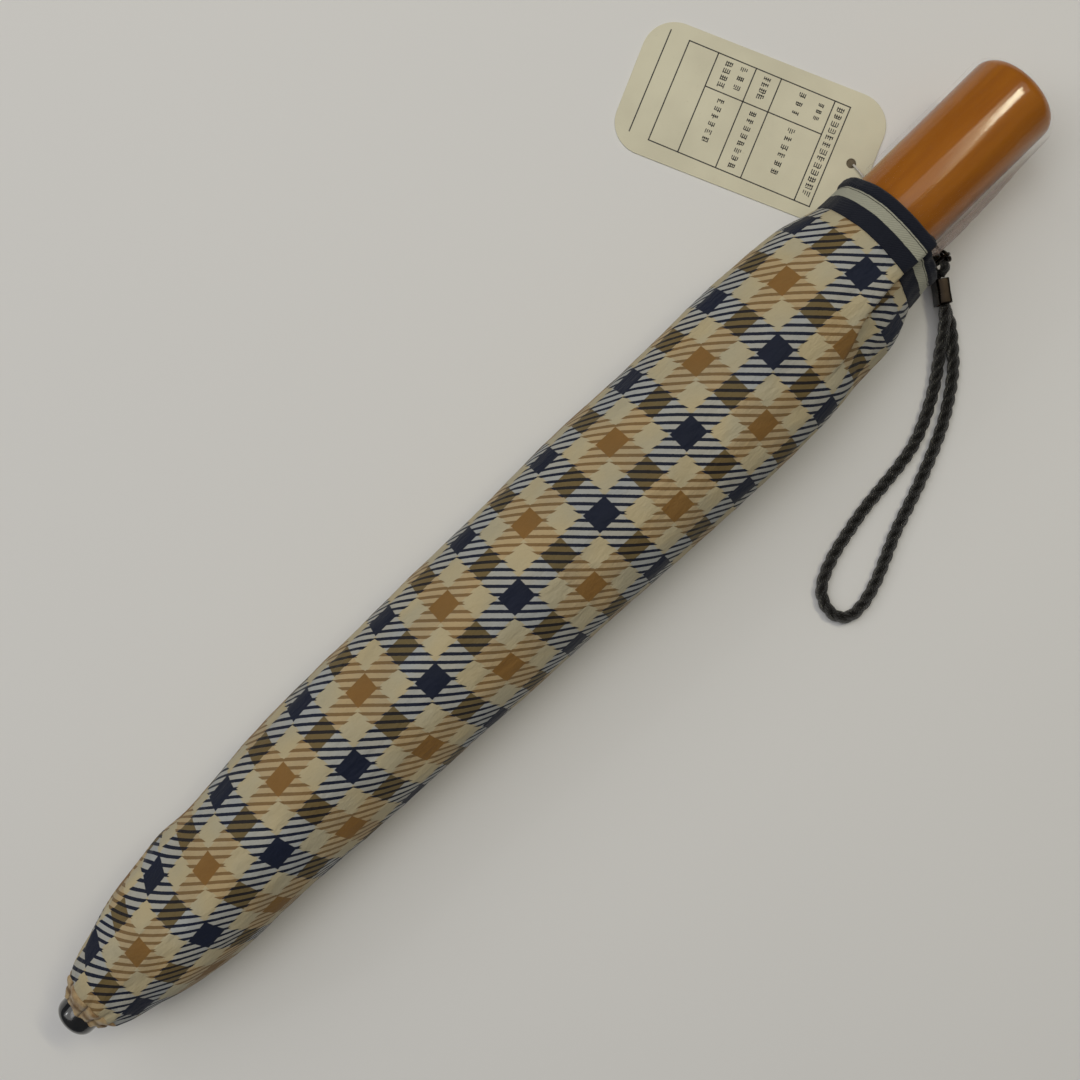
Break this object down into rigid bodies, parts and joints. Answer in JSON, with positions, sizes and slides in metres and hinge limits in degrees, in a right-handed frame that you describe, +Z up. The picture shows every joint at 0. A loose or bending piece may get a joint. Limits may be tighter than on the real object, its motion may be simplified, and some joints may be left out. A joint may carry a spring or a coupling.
{
  "type": "folding umbrella in sleeve",
  "caption": "Telescopic folding umbrella lying in a printed fabric sleeve, with a lacquered wooden handle in clear film, a wrist cord and a card hang tag.",
  "frame": {"origin": "on the table, under the middle of the object without its free cord and tag", "axes": "+X along the shaft towards the handle, +Y to the side where the hang tag lies, +Z up"},
  "size_m": [0.3598, 0.1598, 0.0407],
  "materials": {
    "lacquered_wood": "amber clear lacquer over turned wood",
    "clear_film": "thin clear crinkled plastic film",
    "dark_chrome": "dark polished chrome",
    "nickel_steel": "nickel-plated steel",
    "black_gloss": "gloss black",
    "black_plastic": "moulded black plastic",
    "plaid_cloth": "printed nylon taffeta, plaid on cream",
    "striped_cloth": "printed nylon taffeta, dark and cream stripes",
    "beige_cloth": "gathered nylon taffeta",
    "black_cord": "twisted glossy rayon cord",
    "cream_card": "uncoated cream card with dark printed rules",
    "nylon_thread": "thin clear nylon"
  },
  "bodies": {
    "handle": {"handle": "lacquered_wood", "handle_collar": "nickel_steel", "strap_eye": "dark_chrome", "lower_tube": "nickel_steel", "lower_catch": "nickel_steel"},
    "film": {"handle_film": "clear_film"},
    "strap": {"strap_ring": "dark_chrome", "cord_neck": "black_cord", "cord_clasp": "dark_chrome", "wrist_cord": "black_cord"},
    "tag": {"hang_tag": "cream_card", "tag_thread": "nylon_thread"},
    "upper_shaft": {"upper_tube": "nickel_steel", "tube_bushing": "black_plastic", "ferrule": "black_gloss", "top_notch": "black_plastic", "notch_wire": "nickel_steel", "runner": "black_plastic", "runner_wire": "nickel_steel", "inner_rib_1": "nickel_steel", "outer_rib_1": "nickel_steel", "stretcher_1": "nickel_steel", "rib_tip_1": "nickel_steel", "inner_rib_2": "nickel_steel", "outer_rib_2": "nickel_steel", "stretcher_2": "nickel_steel", "rib_tip_2": "nickel_steel", "inner_rib_3": "nickel_steel", "outer_rib_3": "nickel_steel", "stretcher_3": "nickel_steel", "rib_tip_3": "nickel_steel", "inner_rib_4": "nickel_steel", "outer_rib_4": "nickel_steel", "stretcher_4": "nickel_steel", "rib_tip_4": "nickel_steel", "inner_rib_5": "nickel_steel", "outer_rib_5": "nickel_steel", "stretcher_5": "nickel_steel", "rib_tip_5": "nickel_steel", "inner_rib_6": "nickel_steel", "outer_rib_6": "nickel_steel", "stretcher_6": "nickel_steel", "rib_tip_6": "nickel_steel", "inner_rib_7": "nickel_steel", "outer_rib_7": "nickel_steel", "stretcher_7": "nickel_steel", "rib_tip_7": "nickel_steel", "inner_rib_8": "nickel_steel", "outer_rib_8": "nickel_steel", "stretcher_8": "nickel_steel", "rib_tip_8": "nickel_steel", "canopy": "plaid_cloth", "tie_strap": "plaid_cloth", "tie_snap": "nickel_steel"},
    "top_catch": {"top_catch": "nickel_steel"},
    "sleeve": {"sleeve": "plaid_cloth", "sleeve_band": "striped_cloth", "sleeve_gather": "beige_cloth"}
  },
  "joints": [
    {"name": "telescope", "type": "slide", "parent": "handle", "child": "upper_shaft", "axis": [-1, 0, 0], "range_m": [0, 0.2]},
    {"name": "sleeve_off", "type": "slide", "parent": "upper_shaft", "child": "sleeve", "axis": [-1, 0, 0], "range_m": [0, 0.33]},
    {"name": "film_off", "type": "slide", "parent": "handle", "child": "film", "axis": [1, 0, 0], "range_m": [0, 0.07]},
    {"name": "strap_swing", "type": "hinge", "parent": "handle", "child": "strap", "pos_m": [0.1352, -0.01535, 0.014], "axis": [0, 0, 1], "range_deg": [0, 30]},
    {"name": "tag_swing", "type": "hinge", "parent": "handle", "child": "tag", "pos_m": [0.1352, -0.01535, 0.014], "axis": [0, 0, 1], "range_deg": [-60, 3]},
    {"name": "top_catch_press", "type": "slide", "parent": "upper_shaft", "child": "top_catch", "axis": [0, 0.3827, -0.9239], "range_m": [0, 0.0018], "stiffness_N_per_m": 600}
  ]
}
